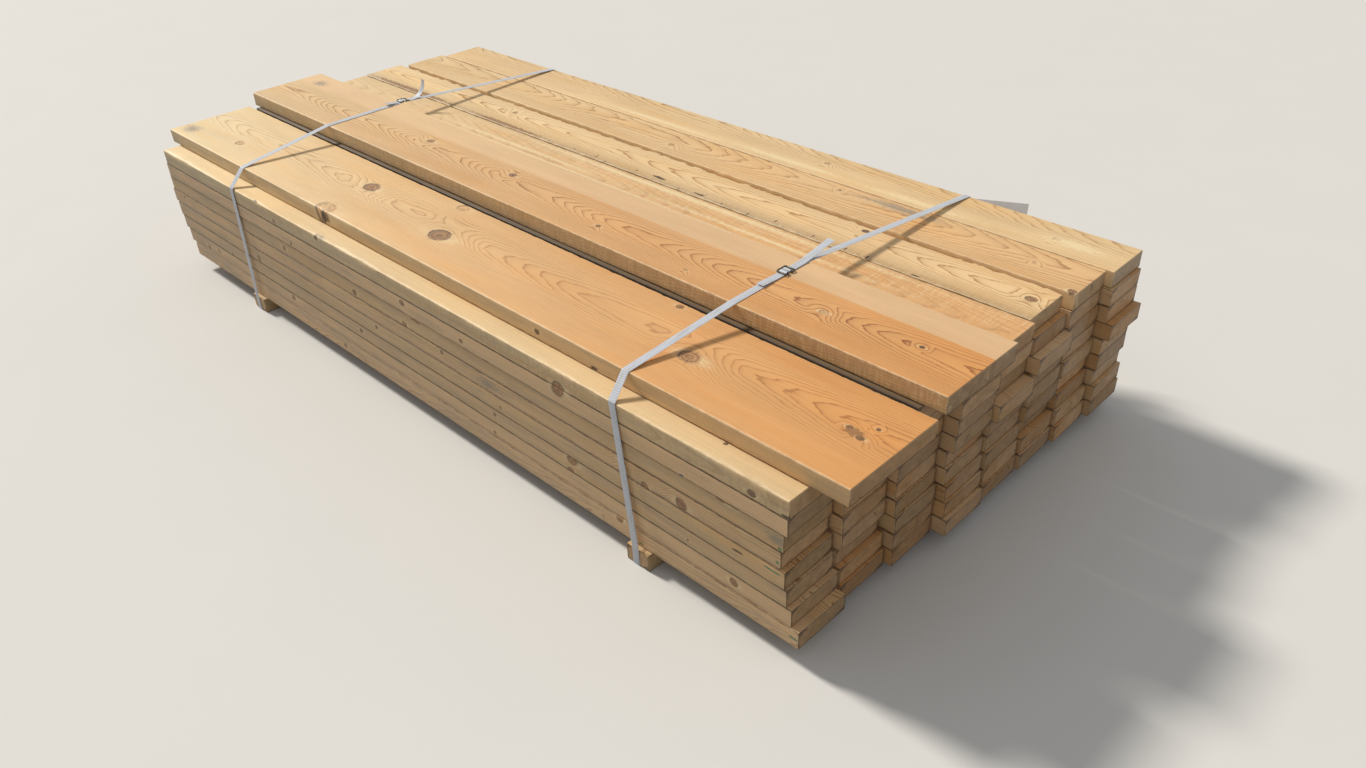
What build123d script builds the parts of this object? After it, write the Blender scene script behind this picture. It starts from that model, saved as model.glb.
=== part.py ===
from build123d import *
import os
from math import atan2, cos, degrees, hypot, radians, sin, tan

# A strapped bundle of sawn pine studs on two bearers.
# Millimetres; +X runs along the studs, +Y across the bundle and +Z up. The model is built with the
# near left bottom edge of the studs at the origin and moved at the end, so that the middle of its
# footprint is the origin.

# Sawn studs
board_thickness = 45.0
board_width = 150.0
board_length = 2630.0
arris_radius = 2.5
column_count = 8
full_layer_count = 8
column_gap = 5.3

# Near end of every stud of the full layers, along X: one row for each layer, lowest layer first
end_offsets = [
    [33, 16, 32, 65, 61, 66, 74, 88],
    [11, 10, 31, 56, 58, 62, 70, 86],
    [-2, -2, 33, 53, 56, 46, 62, 79],
    [-7, 9, 28, 48, 50, 62, 55, 83],
    [-19, 9, 25, 43, 54, 60, 64, 83],
    [-13, 8, 28, 59, 72, 58, 58, 100],
    [-4, 10, 30, 61, 45, 74, 60, 82],
    [0, 12, 32, 66, 52, 52, 56, 81],
]
# Sideways place of every stud within its column, in the same order
side_offsets = [
    [0, 1, 2, 1, 0, 1, 1, 0],
    [2, 0, 1, 2, 1, 2, 0, 2],
    [1, -1, 2, 0, 2, 0, 2, -1],
    [0, 2, 0, 1, 1, 2, 1, 1],
    [1, 0, 1, 0, 2, 1, 2, 0],
    [2, 2, 0, 2, 0, 2, 0, 2],
    [0, 1, 2, 1, 2, 0, 1, -1],
    [0, 2, 1, 0, 1, 1, 2, 1],
]
# Studs of one column were cut together, so their length differs from column to column only
column_trims = [-44, -30, -20, -10, -6, 0, 4, 2]

# Wide plank in the ninth layer, and the plank on top of all, which starts just right of it
wide_plank_width = 276.0
wide_plank_length = 2715.0
wide_plank_end = 90.0
wide_plank_left = 54.0
top_plank_width = 257.0
top_plank_length = 2708.0
top_plank_end = 95.0
top_plank_step = 18.0

# Ninth layer, rightwards from the wide plank: one narrow stud, then the rest, each with its near end,
# the gap on its left, and what its length differs by
narrow_stud_width = 120.0
narrow_stud_end = 42.0
narrow_stud_gap = 6.0
ninth_layer_studs = [(60, 8, 0), (51, 4, 18), (36, 6, 9), (57, 14, 8), (74, 4, 2)]

# Bearers
bearer_width = 70.0
bearer_height = 45.0
bearer_overhang = 13.0
near_bearer_x = -406.0
far_bearer_x = -2118.0

# Woven straps
strap_width = 20.0
strap_thickness = 1.0
strap_clearance = 0.2
strap_bend_radius = 3.0
bearer_bend_radius = 1.1
groove_side_clearance = 2.0
least_run = 0.001

# How far each strap strays from its bearer's middle, along X, as it crosses the bearer, the first
# stud's edge, the wide plank, the top plank and the right edge
near_strap_strays = [-5, -61, -73, -42, -3]
far_strap_strays = [-3, 0, -13, -10, 5]

# Wire buckles: the strap's two folds hang on the prongs, and the outer bars hold them down
wire_diameter = 4.0
wire_bend_radius = 4.0
buckle_length = 36.0
buckle_side_gap = 2.0
prong_spacing = 9.0
prong_gap = 1.5

# The near buckle's place from the top plank's left edge, the far one's beyond its right edge, and how
# far each strays from its bearer's middle along X
near_buckle_place = 183.0
near_buckle_stray = -43.0
far_buckle_place = 22.0
far_buckle_stray = -16.0

# Strap tails beyond the buckle: how far each reaches, how far its tip stands up, and its bend
tail_bend_place = 0.3
near_short_tail = (72.0, 3.0, 60.0)
near_long_tail = (145.0, 20.0, 60.0)
far_short_tail = (45.0, 3.0, 60.0)
far_long_tail = (62.0, 62.0, 35.0)

# Plain label tucked under the near strap on the right side
label_length = 150.0
label_height = 100.0
label_thickness = 0.6
label_angle = 26.0
label_tab = 22.0
label_back = 30.0
label_back_angle = 14.0
label_bend_radius = 8.0
label_drop = 4.0

# Worked out from the sizes above
stack_height = full_layer_count * board_thickness
ninth_top = stack_height + board_thickness
top_height = ninth_top + board_thickness
column_pitch = board_width + column_gap
full_right = (column_count - 1) * column_pitch + max(row[-1] for row in side_offsets) + board_width
narrow_stud_left = wide_plank_left + wide_plank_width + narrow_stud_gap
ninth_right = narrow_stud_left + narrow_stud_width + sum(gap + board_width for _, gap, _ in ninth_layer_studs)
right_edge = max(full_right, ninth_right)
top_plank_left = wide_plank_left + wide_plank_width + top_plank_step
top_plank_right = top_plank_left + top_plank_width
wire_radius = wire_diameter / 2
buckle_width = strap_width + 2 * (buckle_side_gap + wire_diameter)
layer_step = strap_thickness + strap_clearance


def board(length, width, near_end, left, height):
    """A plank with eased long edges, from its near end, left edge and underside."""
    outline = RectangleRounded(width, board_thickness, arris_radius)
    section = Plane.YZ * Pos(width / 2, board_thickness / 2) * outline
    return Pos(near_end, left, height) * extrude(section, -length)


def full_layer(number):
    """The studs of one full layer, side by side."""
    studs = []
    height = (number - 1) * board_thickness
    for column in range(column_count):
        near_end = end_offsets[number - 1][column]
        left = column * column_pitch + side_offsets[number - 1][column]
        length = board_length + column_trims[column]
        studs.append(board(length, board_width, near_end, left, height))
    return studs


def ninth_layer():
    """The studs that share the ninth layer with the wide plank."""
    studs = [board(board_length, narrow_stud_width, narrow_stud_end, narrow_stud_left, stack_height)]
    left = narrow_stud_left + narrow_stud_width
    for near_end, gap, trim in ninth_layer_studs:
        left += gap
        studs.append(board(board_length + trim, board_width, near_end, left, stack_height))
        left += board_width
    return studs


def bearer(middle, stray):
    """A batten under the bundle, with a shallow groove along its underside for the strap."""
    length = right_edge + 2 * bearer_overhang
    groove_width = strap_width + 2 * groove_side_clearance
    groove_depth = strap_thickness + 2 * strap_clearance
    block = Box(bearer_width, length, bearer_height)
    groove = Box(groove_width, length, groove_depth)
    drop = (bearer_height - groove_depth) / 2
    block -= Pos(stray, 0, -drop) * groove
    return Pos(middle, right_edge / 2, -bearer_height / 2) * block


class Corner:
    """A corner of a strap's middle line, with the radius of its bend."""

    def __init__(self, x, y, z, radius):
        self.x = x
        self.y = y
        self.z = z
        self.radius = radius


def direction(start, end):
    """The unit vector from one corner to the next, in the plane across the bundle."""
    distance = hypot(end.y - start.y, end.z - start.z)
    return (end.y - start.y) / distance, (end.z - start.z) / distance


def taut(corners):
    """The corners that a strap pulled tight bears on, with those that it passes clear of left out."""
    kept = [corners[0]]
    for number, corner in enumerate(corners[1:-1], start=1):
        way_in = direction(kept[-1], corner)
        way_out = direction(corner, corners[number + 1])
        if way_in[0] * way_out[1] > way_in[1] * way_out[0]:
            kept.append(corner)
    return kept + [corners[-1]]


def strap_section(x, y, z, along):
    """The strap's cross-section at a point of its middle line."""
    plane = Plane(origin=(x, y, z), x_dir=(1, 0, 0), z_dir=(0, along[0], along[1]))
    return plane * Rectangle(strap_width, strap_thickness)


def strap_band(corners):
    """A flat band that follows its corners with straight runs and round bends."""
    pieces = []
    start = (corners[0].y, corners[0].z)
    for before, corner, after in zip(corners, corners[1:], corners[2:]):
        way_in = direction(before, corner)
        way_out = direction(corner, after)
        turn = atan2(way_in[0] * way_out[1] - way_in[1] * way_out[0],
                     way_in[0] * way_out[0] + way_in[1] * way_out[1])
        reach = corner.radius * abs(tan(turn / 2))
        side = 1 if turn > 0 else -1
        end = (corner.y - reach * way_in[0], corner.z - reach * way_in[1])
        section = strap_section(corner.x, *end, way_in)
        # The two bends of a fold meet with no straight run between them
        if hypot(end[0] - start[0], end[1] - start[1]) > least_run:
            pieces.append(loft([strap_section(before.x, *start, way_in), section], ruled=True))
        centre = (corner.x, end[0] - side * corner.radius * way_in[1], end[1] + side * corner.radius * way_in[0])
        pieces.append(revolve(section, Axis(centre, (side, 0, 0)), degrees(abs(turn))))
        start = (corner.y + reach * way_out[0], corner.z + reach * way_out[1])
    tip = corners[-1]
    way = direction(corners[-2], tip)
    first = strap_section(corners[-2].x, *start, way)
    pieces.append(loft([first, strap_section(tip.x, tip.y, tip.z, way)], ruled=True))
    return pieces[0].fuse(*pieces[1:])


def buckle_frame(x, y):
    """The frame of a buckle: its X runs along the strap, and its Z stands off the wood."""
    if y < top_plank_right:
        return Plane(origin=(x, y, top_height), x_dir=(0, 1, 0), z_dir=(0, 0, 1))
    slope = atan2(ninth_top - top_height, ninth_right - top_plank_right)
    height = top_height + (y - top_plank_right) * tan(slope)
    return Plane(origin=(x, y, height), x_dir=(0, cos(slope), sin(slope)), z_dir=(0, -sin(slope), cos(slope)))


def fold_corners(frame, side, tail):
    """One end of a strap, from the tip of its tail, round its prong and back to the buckle's middle."""
    reach, lift, tail_bend = tail
    low = strap_clearance + strap_thickness / 2
    high = low + layer_step
    fold = wire_radius + strap_clearance + strap_thickness / 2
    prong = prong_spacing / 2
    edge = buckle_length / 2
    points = [
        (edge + reach, high + lift, 0),
        (edge + reach * tail_bend_place, high, tail_bend),
        (edge - wire_diameter - strap_thickness, high, strap_bend_radius),
        (prong + fold, low + 2 * fold, strap_bend_radius),
        (prong - fold, low + 2 * fold, fold),
        (prong - fold, low, fold),
    ]
    corners = []
    for along, height, bend in points:
        place = frame.from_local_coords(Vector(side * along, 0, height))
        corners.append(Corner(frame.origin.X, place.Y, place.Z, bend))
    return corners


def strap(middle, strays, frame, short_tail, long_tail, right_gap=0.0):
    """A strap round the bundle and its bearer, with both ends folded through the buckle."""
    bearer_x, stud_x, wide_x, top_x, right_x = [middle + stray for stray in strays]
    off = strap_clearance + strap_thickness / 2
    bend = strap_bend_radius
    below = strap_clearance + strap_thickness / 2 - bearer_height
    left_part = [
        Corner(top_x, top_plank_left - off, top_height + off, bend),
        Corner(wide_x, wide_plank_left - off, ninth_top + off, bend),
        Corner(stud_x, -off, stack_height + off, bend),
        Corner(bearer_x, -bearer_overhang - off, 0, bend),
        Corner(bearer_x, -bearer_overhang - off, below, bearer_bend_radius),
    ]
    right_part = [
        Corner(bearer_x, right_edge + bearer_overhang + off, below, bearer_bend_radius),
        Corner(bearer_x, right_edge + bearer_overhang + off, 0, bend),
        Corner(right_x, full_right + right_gap + off, stack_height + off, bend),
        Corner(right_x, ninth_right + right_gap + off, ninth_top + off, bend),
        Corner(top_x, top_plank_right + off, top_height + off, bend),
    ]
    right_part = taut(right_part)
    if frame.origin.Y > top_plank_right:
        left_part.insert(0, right_part.pop())
    left_end = fold_corners(frame, -1, short_tail)
    right_end = fold_corners(frame, 1, long_tail)
    return strap_band(left_end + left_part + right_part + right_end[::-1])


def buckle(frame):
    """One bent wire: two outer bars, one whole side and two prongs that end short of that side."""
    bar = buckle_length / 2 - wire_radius
    side = buckle_width / 2 - wire_radius
    prong = prong_spacing / 2
    low = 2 * strap_clearance + strap_thickness + wire_radius
    high = low + layer_step
    prong_end = side - wire_radius - prong_gap
    points = [
        (-prong, prong_end, low),
        (-prong, -side, low),
        (-bar, -side, high),
        (-bar, side, high),
        (bar, side, high),
        (bar, -side, high),
        (prong, -side, low),
        (prong, prong_end, low),
    ]
    corners = [frame.from_local_coords(Vector(*point)) for point in points]
    path = FilletPolyline(*corners, radius=wire_bend_radius)
    section = Plane(origin=path @ 0, z_dir=path % 0) * Circle(wire_radius)
    return sweep(section, path=path)


def label():
    """A plain plastic card under the near strap, with its free ends standing off the side."""
    tab = label_tab / 2
    middle = near_bearer_x + near_strap_strays[-1]
    top = ninth_top if ninth_right > full_right else stack_height
    face = right_edge + strap_clearance + label_thickness / 2
    out = radians(label_angle)
    back = radians(label_back_angle)
    line = FilletPolyline(
        (middle - tab - label_back * cos(back), face + label_back * sin(back)),
        (middle - tab, face),
        (middle + tab, face),
        (middle + tab + label_length * cos(out), face + label_length * sin(out)),
        radius=label_bend_radius,
    )
    card = extrude(trace(line, label_thickness), label_height)
    return Pos(0, 0, top - label_drop - label_height) * card


def bundle():
    """Every node of the bundle by name, in the frame of the studs."""
    nodes = {}
    for number in range(1, full_layer_count + 1):
        nodes[f"stud_layer_{number}"] = full_layer(number)
    nodes["stud_layer_9"] = ninth_layer()
    nodes["wide_plank"] = [board(wide_plank_length, wide_plank_width, wide_plank_end, wide_plank_left,
                                 stack_height)]
    nodes["top_plank"] = [board(top_plank_length, top_plank_width, top_plank_end, top_plank_left, ninth_top)]
    near_frame = buckle_frame(near_bearer_x + near_buckle_stray, top_plank_left + near_buckle_place)
    far_frame = buckle_frame(far_bearer_x + far_buckle_stray, top_plank_right + far_buckle_place)
    near_strap = strap(near_bearer_x, near_strap_strays, near_frame, near_short_tail, near_long_tail,
                       right_gap=label_thickness + strap_clearance)
    far_strap = strap(far_bearer_x, far_strap_strays, far_frame, far_short_tail, far_long_tail)
    nodes["near_bearer"] = [bearer(near_bearer_x, near_strap_strays[0])]
    nodes["far_bearer"] = [bearer(far_bearer_x, far_strap_strays[0])]
    nodes["near_strap"] = [near_strap]
    nodes["far_strap"] = [far_strap]
    nodes["near_buckle"] = [buckle(near_frame)]
    nodes["far_buckle"] = [buckle(far_frame)]
    nodes["label"] = [label()]
    return nodes


def centred(nodes):
    """The nodes moved so that the origin is the middle of the footprint, at its lowest level."""
    everything = [solid for solids in nodes.values() for solid in solids]
    box = Compound(children=everything).bounding_box()
    move = Pos(-(box.min.X + box.max.X) / 2, -(box.min.Y + box.max.Y) / 2, -box.min.Z)
    return {name: [move * solid for solid in solids] for name, solids in nodes.items()}


parts = centred(bundle())
os.makedirs("parts", exist_ok=True)
for name, solids in parts.items():
    export_step(Compound(children=solids), f"parts/{name}.step")
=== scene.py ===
from collections import namedtuple
from dataclasses import dataclass, field
from math import atan2, ceil, cos, hypot, pi, radians, sin, tan

import bpy
import numpy as np
from mathutils import Matrix, Vector


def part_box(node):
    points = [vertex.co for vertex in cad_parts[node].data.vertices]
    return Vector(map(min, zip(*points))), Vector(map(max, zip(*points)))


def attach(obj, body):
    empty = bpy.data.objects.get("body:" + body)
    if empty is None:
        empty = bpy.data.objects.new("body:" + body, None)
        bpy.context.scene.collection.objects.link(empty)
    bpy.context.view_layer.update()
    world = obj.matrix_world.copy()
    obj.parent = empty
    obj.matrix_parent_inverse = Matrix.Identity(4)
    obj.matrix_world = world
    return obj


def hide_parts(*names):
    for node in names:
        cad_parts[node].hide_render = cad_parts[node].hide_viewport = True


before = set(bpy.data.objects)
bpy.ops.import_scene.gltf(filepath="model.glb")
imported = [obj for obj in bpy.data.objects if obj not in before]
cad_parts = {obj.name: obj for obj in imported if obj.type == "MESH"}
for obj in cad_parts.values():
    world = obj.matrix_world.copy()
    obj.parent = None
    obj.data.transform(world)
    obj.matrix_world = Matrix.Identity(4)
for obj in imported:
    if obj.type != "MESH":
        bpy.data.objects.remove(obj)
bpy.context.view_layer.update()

# Everything is in metres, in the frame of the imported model. Small lengths are written in millimetres.
MM = 0.001
rng = np.random.default_rng(5)

# Camera: where the photograph was taken from, and the turns that aim it
photo_width = 1366
camera_place = (2.1550, -1.7934, 1.6448)
camera_yaw = 0.7231
camera_pitch = 0.9740
camera_roll = 0.0535
focal_length_px = 1060.9
sensor_width = 36.0

# Light
sun_direction = (-0.95, -0.09, 0.80)
sun_strength = 3.1
sun_spread = 9.0
sun_colour = (1.0, 0.96, 0.90)
sky_colour = (0.93, 0.96, 1.0)
sky_strength = 0.42

# Shape of the boards
arris = 1.6 * MM
smallest_arris = 0.7 * MM
largest_arris = 5 * MM
arris_chip = 3.0 * MM
smallest_wane = 1.2 * MM
widest_wane = 12 * MM
layer_gap = 0.55 * MM
side_gap_share = 0.8
end_rim = 0.6 * MM
end_skew = (0.006, 0.012)
skewed_length = 30 * MM

# Steps of the boards' grids, and the closer grid lines near an end
fine_step = 10 * MM
side_step = 14 * MM
coarse_step = 30 * MM
hidden_step = 90 * MM
plain_width_step = 34 * MM
height_step = 12 * MM
end_lines = (0.0, 0.7 * MM, 6 * MM, 16 * MM)
end_zone = 40 * MM

# Grain, which the wood's material counts in centimetres
cm = 100.0
rings_per_cm = 2.8
ring_wave_share = 0.7
side_contrast_share = 0.6
end_contrast = 1.5
light_range = 2.0
sap_range = 20.0

# Knots and marks. A kind of mark is a number, because the material reads it.
knot_stretch = 1.35
knot_lean = 0.2
knot_face_pull = 1.6
knot_reach = 5.0
mark_reach = 3.5
nowhere = (9.0, 9.0, 0.0)
palest_knot = 0.02
knot_shade_share = 0.97
GREEN, BLUE, SHADED_HOLE, BARK, PALE, SMEAR = range(1, 7)
FACE_SIDES = {"left": 2, "right": 3, "top": 5}
FACE_NORMALS = {"left": (-1.0, 0.0), "right": (1.0, 0.0), "top": (0.0, 1.0)}

# Colours, from 0 to 255 as they look on a screen
early_wood = ((226, 202, 156), (225, 160, 92))
late_wood = ((176, 132, 82), (156, 90, 42))
amber_tint = (255, 238, 208)
sap_early_wood = (229, 192, 146)
sap_late_wood = (202, 154, 108)
end_wood = (172, 126, 88)
grey_wood = (170, 152, 128)
saw_fleck = (240, 212, 168)
worn_fibre = (242, 214, 170)
# dirt and painted shade for the joints between boards, along the arrises and end rims
grime_and_edge_shade = (54, 39, 28)
torn_grain = (242, 216, 166)
pale_knot = ((224, 184, 132), (170, 120, 74))
sound_knot = ((196, 144, 94), (128, 82, 48))
dead_knot = ((112, 70, 44), (56, 36, 28))
knot_middle = (70, 42, 28)
knot_crack = (50, 30, 22)
knot_rim = (72, 44, 30)
# The hole colour is painted shade: a dark spot that stands in for the shade inside a hole or slit.
mark_colours = {GREEN: (52, 128, 92), BLUE: (58, 96, 120), SHADED_HOLE: (38, 27, 22),
                BARK: (152, 110, 68), PALE: (246, 224, 176), SMEAR: (142, 132, 118)}
strap_white = (208, 212, 219)
strap_dirt = (188, 184, 178)
bright_wire = (132, 126, 114)
dark_wire = (50, 44, 38)
rust = (120, 74, 44)
label_white = (248, 238, 234)
label_dust = (234, 220, 214)
floor_seen = (222, 219, 213)
floor_lit = (138, 136, 132)

# Straps, as in the model's source
strap_width = 20 * MM
strap_thickness = 1.0 * MM
strap_clearance = 0.2 * MM
strap_bend = 3.0 * MM
bearer_bend = 1.1 * MM
groove_half_width = 12 * MM
groove_depth = 1.4 * MM
groove_wall = 0.1 * MM
yarn_pitch = 1.25 * MM
rib_pitch = 5.4 * MM
rib_height = 0.07 * MM
rib_width_share = 0.46
edge_wear = 0.006
edge_waves = (7 * MM, 2.3 * MM)
edge_thinning = 0.55
band_places = (-1.0, -0.96, -0.8, -0.28, 0.28, 0.8, 0.96, 1.0)
strap_step = rib_pitch / 3
bend_step = 0.7 * MM
twist_length = 55 * MM
wire_radius = 2.0 * MM
prong_offset = 4.5 * MM
buckle_half_length = 18 * MM
label_room = 0.8 * MM

# How far each strap strays from its bearer's middle, in millimetres: at the bearer, the studs' left side, the
# wide plank, the top plank and the right side. Then its buckle's stray, and the buckle's place across.
near_strays = [-5, -61, -73, -42, -3]
far_strays = [-3, 0, -13, -10, 5]
near_buckle_stray = -43
far_buckle_stray = -16
near_buckle_place = 183
far_buckle_place = 22

# Label
label_tab = 11 * MM
label_out_angle = 26
label_back_angle = 14
label_half_thickness = 0.25 * MM
label_off_wood = 0.3 * MM
label_curl = 2.2 * MM
label_curl_start = 20 * MM
label_curl_length = 100 * MM
label_step = 4 * MM
label_rows = 22


# Node trees

class Value:
    """What one output of a node gives, with the usual signs for sums."""

    def __init__(self, graph, socket):
        self.graph = graph
        self.socket = socket

    def __add__(self, other):
        return self.graph.math("ADD", self, other)

    def __sub__(self, other):
        return self.graph.math("SUBTRACT", self, other)

    def __rsub__(self, other):
        return self.graph.math("SUBTRACT", other, self)

    def __mul__(self, other):
        return self.graph.math("MULTIPLY", self, other)

    def __truediv__(self, other):
        return self.graph.math("DIVIDE", self, other)

    __radd__ = __add__
    __rmul__ = __mul__


class Graph:
    """A material's node tree, with one short call for each kind of node."""

    def __init__(self, name):
        self.material = bpy.data.materials.new(name)
        self.material.use_nodes = True
        self.tree = self.material.node_tree
        self.shader = self.tree.nodes["Principled BSDF"]

    def join(self, value, socket):
        if isinstance(value, Value):
            self.tree.links.new(value.socket, socket)
        elif value is not None:
            socket.default_value = value

    def add(self, kind, *inputs, **settings):
        node = self.tree.nodes.new("ShaderNode" + kind)
        for name, value in settings.items():
            setattr(node, name, value)
        for number, value in enumerate(inputs):
            self.join(value, node.inputs[number])
        return node

    def value(self, kind, *inputs, output=0, **settings):
        """One output of a new node."""
        return Value(self, self.add(kind, *inputs, **settings).outputs[output])

    def attribute(self, name, output="Vector"):
        return self.value("Attribute", attribute_name=name, output=output)

    def math(self, operation, a, b=None):
        return self.value("Math", a, b, operation=operation)

    def above(self, value, limit):
        return self.math("GREATER_THAN", value, limit)

    def vector(self, x, y, z):
        return self.value("CombineXYZ", x, y, z)

    def split(self, vector, kind="SeparateXYZ"):
        return [Value(self, socket) for socket in self.add(kind, vector).outputs]

    def length(self, a, b):
        return self.math("SQRT", a * a + b * b)

    def noise(self, vector, stretch, detail=2.0, roughness=0.5):
        """Noise about 0, from -0.5 to 0.5, with its own scale along each axis."""
        scaled = self.value("VectorMath", vector, stretch, operation="MULTIPLY")
        return self.value("TexNoise", scaled, None, 1.0, detail, roughness) - 0.5

    def step(self, value, low, high):
        """0 below low and 1 above high, with a smooth change between them."""
        return self.value("MapRange", value, low, high, interpolation_type="SMOOTHSTEP")

    def fall(self, value, low, high):
        """1 below low and 0 above high, with a smooth change between them."""
        return 1.0 - self.step(value, low, high)

    def bell(self, value, middle, width):
        """1 where the value is at the middle, falling to 0 about a width away."""
        off = (value - middle) / width
        return self.math("POWER", 2.718, off * off * -1.0)

    def mix(self, factor, a, b, blend="MIX"):
        """A mix of two colours, each a value or three numbers from 0 to 255."""
        node = self.add("Mix", factor, data_type="RGBA", blend_type=blend)
        for number, colour in ((6, a), (7, b)):
            self.join(linear(colour) if isinstance(colour, tuple) else colour, node.inputs[number])
        return Value(self, node.outputs[2])

    def shade(self, colour, amount):
        """The colour made lighter or darker by a factor."""
        return self.value("VectorMath", colour, None, None, amount, operation="SCALE")

    def finish(self, colour, roughness, height, depth):
        """The material with its colour, roughness, and relief of a depth."""
        bump = self.add("Bump")
        bump.inputs["Strength"].default_value = 1.0
        bump.inputs["Distance"].default_value = depth
        self.join(height, bump.inputs["Height"])
        self.join(colour, self.shader.inputs["Base Color"])
        self.join(roughness, self.shader.inputs["Roughness"])
        self.join(Value(self, bump.outputs[0]), self.shader.inputs["Normal"])
        return self.material


def linear(colour):
    """A screen colour from 0 to 255 as a shader needs it."""
    shares = [c / 255 for c in colour]
    return (*[c / 12.92 if c <= 0.04045 else ((c + 0.055) / 1.055) ** 2.4 for c in shares], 1.0)


# Wood

def growth_rings(g, log, rise, lift):
    """How far a point is through its year ring, and how far it is from the pith, in centimetres."""
    x, y, z = g.split(log)
    sideways = g.noise(g.vector(x, 3.0, 0.0), (0.012, 1, 1), 1.0)
    straight = g.length(y + sideways * 3.0, z)
    wobble = g.noise(log, (0.025, 0.16, 0.16))
    ripple = g.noise(log, (0.20, 1.1, 1.1), 3.0)
    radius = straight + rise + wobble * 0.9 + ripple * 0.22 + lift
    uneven = g.noise(g.vector(radius, 0.0, 0.0), (0.6, 1, 1), 1.0)
    return g.math("FRACT", radius * rings_per_cm + uneven), straight


def fresh_wood(g, log, ring, warmth, sap, contrast):
    """The colour of a clean cut, and how much of it is the dark line that ends each year ring."""
    line = g.step(ring, 0.76, 0.93) * 0.74 + g.step(ring, 0.3, 0.9) * 0.26
    late = line * g.fall(ring, 0.96, 1.0)
    fade = g.noise(log, (0.02, 0.25, 0.25), 1.0) + 0.95
    early_colour = g.mix(warmth, *early_wood)
    late_colour = g.mix(warmth, *late_wood)
    amber = g.step(g.noise(log, (0.022, 0.20, 0.20), 3.0), -0.08, 0.22)
    early_colour = g.mix(amber * 0.5, early_colour, amber_tint, "MULTIPLY")
    sapwood = g.step(sap + g.noise(log, (0.014, 0.9, 0.9), 3.0) * 2.6, -0.35, 0.55)
    early_colour = g.mix(sapwood * 0.85, early_colour, sap_early_wood)
    late_colour = g.mix(sapwood * 0.55, late_colour, sap_late_wood)
    return g.mix(late * fade * contrast, early_colour, late_colour), late


def saw_marks(g, log, saw):
    """The teeth marks across a face, the fuzz that a blunt saw leaves, and the shade and height of both."""
    tooth = g.noise(log, (1.7, 0.22, 0.22), 3.0, 0.62)
    fuzz = g.noise(log, (1.6, 4.5, 4.5), 4.0, 0.7)
    scratch = g.step(tooth, 0.08, 0.2)
    return tooth, fuzz, (tooth * 0.5 + fuzz * 0.36 - scratch * 0.2) * saw


def end_marks(g, log, straight):
    """Shade and height of an end: drying checks along the rays, saw scratches and blotches."""
    x, y, z = g.split(log)
    spokes = g.vector(g.math("ARCTAN2", y, z) * 7.0, straight * 0.12, x)
    checks = g.step(g.noise(spokes, (1, 1, 0.02), 3.0, 0.7), 0.155, 0.20)
    scratches = g.noise(log, (0.0, 0.8, 9.0), 3.0, 0.65)
    blotch = g.noise(log, (0.02, 0.45, 0.7), 3.0, 0.6)
    return scratches * 0.40 + blotch * 0.75 - checks * 0.45, scratches * 0.5 - checks * 0.7


def knot_parts(g, u, v, knot):
    """Distance from a knot's middle in its own radii, the same made uneven, and its spokes and lumps."""
    plain = g.length(u, v)
    lumps = g.noise(g.vector(u, v, knot * 5.3), (0.75, 0.75, 1.0))
    reach = g.math("MAXIMUM", plain, 0.001)
    spokes = g.noise(g.vector(u / reach, v / reach, plain * 0.15 + knot), (3.2, 3.2, 1.0), 3.0, 0.7)
    return plain, plain + lumps * 0.4, spokes, lumps


def knot_lift(g, plain, knot_cm):
    """How far a knot pushes the year rings beside it outwards, in centimetres."""
    bulge = g.math("POWER", 2.718, plain * plain * -0.13)
    return bulge * g.fall(plain, 3.0, 4.7) * g.math("SQRT", knot_cm) * 1.05


def knot_core(g, dark, rho, spokes, lumps, grain):
    """The wood of a knot, pale to dark: its own rings, spokes, lumps and a dark middle."""
    line = g.step(g.math("FRACT", (rho + grain * 0.3) * 2.7), 0.25, 0.85)
    sound = g.mix(line * 0.85, *sound_knot)
    core = g.mix(g.step(dark, 0.15, 0.95), sound, g.mix(line, *dead_knot))
    core = g.mix(g.step(dark, 0.02, 0.3), g.mix(line * 0.6, *pale_knot), core)
    core = g.shade(core, spokes * 1.3 + 1.0 + lumps * 1.2)
    return g.mix(g.fall(rho, 0.05, 0.4) * g.step(dark, 0.1, 0.5) * 0.6, core, knot_middle)


def with_knot(g, colour, u, v, dark, rho, spokes, lumps, grain):
    """A knot with its cracks, a broken dark rim, and pale torn grain before and behind it."""
    streaks = g.step(grain + lumps * 0.9, -0.2, 0.14)
    halo = g.fall(g.length(u * 0.5, v * 1.05), 0.5, 1.4) * g.above(dark, 0.001) * streaks
    colour = g.mix(halo * 0.66, colour, torn_grain)
    inside = g.fall(rho, 0.72, 1.04)
    colour = g.mix(inside * 0.86, colour, knot_core(g, dark, rho, spokes, lumps, grain))
    star = g.step(spokes, 0.07, 0.12) * g.fall(rho, 0.5, 1.6) * g.step(dark, 0.1, 0.4)
    colour = g.mix(star * 0.85, colour, knot_crack)
    ragged_side = lumps + dark * 0.25 - u * 0.14
    rim = g.bell(rho, 0.93, 0.13) * g.step(ragged_side, -0.02, 0.2)
    return g.mix(rim * 0.85, colour, knot_rim), inside * 0.2 - rim * 0.5


def mark_colour(g, kind):
    """The colour of a mark by its number."""
    colour = mark_colours[GREEN]
    for number in (BLUE, SHADED_HOLE, BARK, PALE, SMEAR):
        colour = g.mix(g.above(kind, number - 0.5), colour, mark_colours[number])
    return colour


def with_mark(g, colour, place, kind, ragged, fuzz, streak):
    """The colour under a mark: paint, bark and the painted shade of holes end sharply, pale patches and
    smears fade out.
    """
    off = g.length(*place) + ragged * 1.5
    sharp = g.fall(off, 0.62, 1.02) * (fuzz * 0.9 + 0.85)
    soft = g.fall(off + streak * 1.6, 0.1, 1.2) * 0.74
    spot = (sharp + g.above(kind, PALE - 0.5) * (soft - sharp)) * g.above(kind, 0.5)
    return g.mix(spot, colour, mark_colour(g, kind)), spot


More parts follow.
